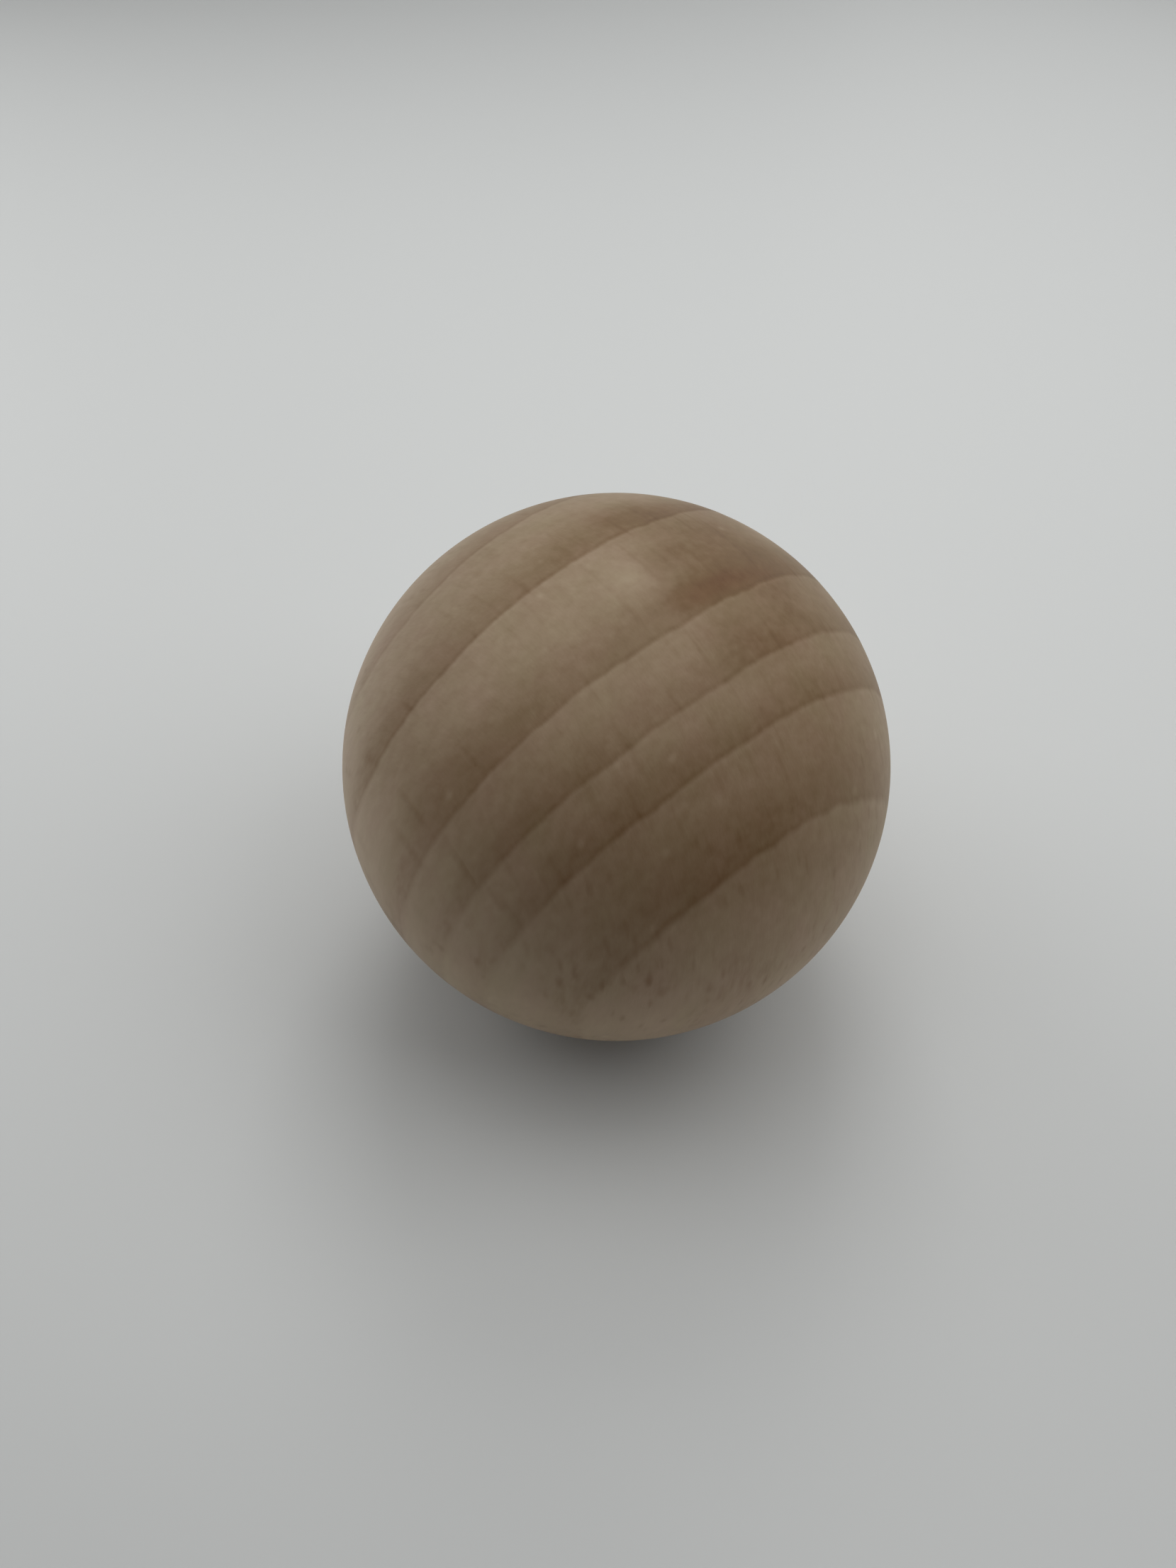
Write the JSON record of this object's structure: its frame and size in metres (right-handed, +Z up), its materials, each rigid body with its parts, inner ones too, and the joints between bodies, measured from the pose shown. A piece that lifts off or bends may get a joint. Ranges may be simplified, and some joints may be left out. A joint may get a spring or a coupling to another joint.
{
  "type": "wooden ball",
  "caption": "Plain round ball of pale, close-grained hardwood, turned and sanded smooth, with no hole, flat or finish.",
  "frame": {"origin": "centre of the ball", "axes": "+Z up through the ball's centre; the form is the same about every axis, so +X and +Y only fix how the wood grain lies"},
  "size_m": [0.05, 0.05, 0.05],
  "materials": {
    "wood": "sanded, between matte and satin"
  },
  "bodies": {
    "root": {"ball": "wood"}
  },
  "joints": []
}
